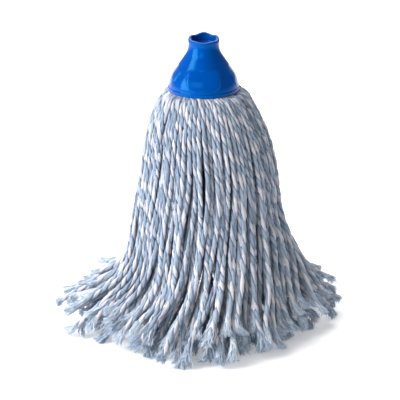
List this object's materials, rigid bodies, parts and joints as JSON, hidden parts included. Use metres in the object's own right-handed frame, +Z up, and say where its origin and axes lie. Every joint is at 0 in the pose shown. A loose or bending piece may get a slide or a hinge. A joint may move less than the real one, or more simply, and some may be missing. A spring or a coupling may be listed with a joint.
{
  "type": "string mop head",
  "caption": "String mop head: a blue moulded socket cap with a threaded neck clamps folded two-ply yarn that hangs in a round skirt with frayed ends.",
  "frame": {"origin": "on the floor under the socket's axis, where the mop head stands on its yarn", "axes": "+Z up along the socket's axis, out of its mouth; -Y is the front; every sixty degrees from +X an inner bundle, every thirty a lock"},
  "size_m": [0.294, 0.294, 0.306],
  "materials": {
    "cap_plastic": "gloss",
    "cone_plastic": "satin",
    "yarn": "matte"
  },
  "bodies": {
    "head": {"socket_cap": "cap_plastic", "clamp_cone": "cone_plastic", "yarn_heads": "yarn", "inner_lock_01": "yarn", "inner_lock_02": "yarn", "inner_lock_03": "yarn", "inner_lock_04": "yarn", "inner_lock_05": "yarn", "inner_lock_06": "yarn", "inner_lock_07": "yarn", "inner_lock_08": "yarn", "inner_lock_09": "yarn", "inner_lock_10": "yarn", "inner_lock_11": "yarn", "inner_lock_12": "yarn", "core_bundle_01": "yarn", "core_bundle_02": "yarn", "core_bundle_03": "yarn", "core_bundle_04": "yarn", "core_bundle_05": "yarn", "core_bundle_06": "yarn"},
    "lock_01": {"outer_lock_01": "yarn"},
    "lock_02": {"outer_lock_02": "yarn"},
    "lock_03": {"outer_lock_03": "yarn"},
    "lock_04": {"outer_lock_04": "yarn"},
    "lock_05": {"outer_lock_05": "yarn"},
    "lock_06": {"outer_lock_06": "yarn"},
    "lock_07": {"outer_lock_07": "yarn"},
    "lock_08": {"outer_lock_08": "yarn"},
    "lock_09": {"outer_lock_09": "yarn"},
    "lock_10": {"outer_lock_10": "yarn"},
    "lock_11": {"outer_lock_11": "yarn"},
    "lock_12": {"outer_lock_12": "yarn"}
  },
  "joints": [
    {"name": "outer_lock_01_swing", "type": "hinge", "parent": "head", "child": "lock_01", "pos_m": [0.0385, 0, 0.247], "axis": [0, -1, 0], "range_deg": [0, 50]},
    {"name": "outer_lock_02_swing", "type": "hinge", "parent": "head", "child": "lock_02", "pos_m": [0.03334, 0.01925, 0.247], "axis": [0.5, -0.866, 0], "range_deg": [0, 50]},
    {"name": "outer_lock_03_swing", "type": "hinge", "parent": "head", "child": "lock_03", "pos_m": [0.01925, 0.03334, 0.247], "axis": [0.866, -0.5, 0], "range_deg": [0, 50]},
    {"name": "outer_lock_04_swing", "type": "hinge", "parent": "head", "child": "lock_04", "pos_m": [0, 0.0385, 0.247], "axis": [1, 0, 0], "range_deg": [0, 50]},
    {"name": "outer_lock_05_swing", "type": "hinge", "parent": "head", "child": "lock_05", "pos_m": [-0.01925, 0.03334, 0.247], "axis": [0.866, 0.5, 0], "range_deg": [0, 50]},
    {"name": "outer_lock_06_swing", "type": "hinge", "parent": "head", "child": "lock_06", "pos_m": [-0.03334, 0.01925, 0.247], "axis": [0.5, 0.866, 0], "range_deg": [0, 50]},
    {"name": "outer_lock_07_swing", "type": "hinge", "parent": "head", "child": "lock_07", "pos_m": [-0.0385, 0, 0.247], "axis": [0, 1, 0], "range_deg": [0, 50]},
    {"name": "outer_lock_08_swing", "type": "hinge", "parent": "head", "child": "lock_08", "pos_m": [-0.03334, -0.01925, 0.247], "axis": [-0.5, 0.866, 0], "range_deg": [0, 50]},
    {"name": "outer_lock_09_swing", "type": "hinge", "parent": "head", "child": "lock_09", "pos_m": [-0.01925, -0.03334, 0.247], "axis": [-0.866, 0.5, 0], "range_deg": [0, 50]},
    {"name": "outer_lock_10_swing", "type": "hinge", "parent": "head", "child": "lock_10", "pos_m": [0, -0.0385, 0.247], "axis": [-1, 0, 0], "range_deg": [0, 50]},
    {"name": "outer_lock_11_swing", "type": "hinge", "parent": "head", "child": "lock_11", "pos_m": [0.01925, -0.03334, 0.247], "axis": [-0.866, -0.5, 0], "range_deg": [0, 50]},
    {"name": "outer_lock_12_swing", "type": "hinge", "parent": "head", "child": "lock_12", "pos_m": [0.03334, -0.01925, 0.247], "axis": [-0.5, -0.866, 0], "range_deg": [0, 50]}
  ]
}
